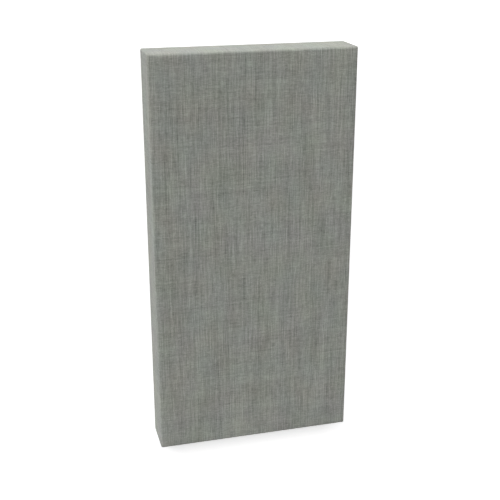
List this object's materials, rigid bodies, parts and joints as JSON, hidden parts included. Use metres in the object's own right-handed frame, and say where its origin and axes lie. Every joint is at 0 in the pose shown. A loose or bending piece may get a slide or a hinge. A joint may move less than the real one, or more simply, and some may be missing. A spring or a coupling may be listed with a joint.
{
  "type": "fabric acoustic wall panel",
  "caption": "Deep rectangular sound-absorbing wall panel: a fibre core on a carrier board with keyhole slots, wrapped in woven fabric that is turned in at the back.",
  "frame": {"origin": "middle of the back, on the turned-in fabric that the panel rests on", "axes": "+X across the panel, +Y to the end that is uppermost on the wall, +Z out of the covered front"},
  "size_m": [0.596, 1.2, 0.12],
  "materials": {
    "cover_fabric": "matt linen weave in mottled sage grey",
    "pressed_fibre": "matt felted fibre",
    "fibreboard": "plain sanded fibreboard",
    "staple_wire": "bright galvanised wire"
  },
  "bodies": {
    "root": {"fabric_cover": "cover_fabric", "absorber_core": "pressed_fibre", "carrier_board": "fibreboard"}
  },
  "joints": []
}
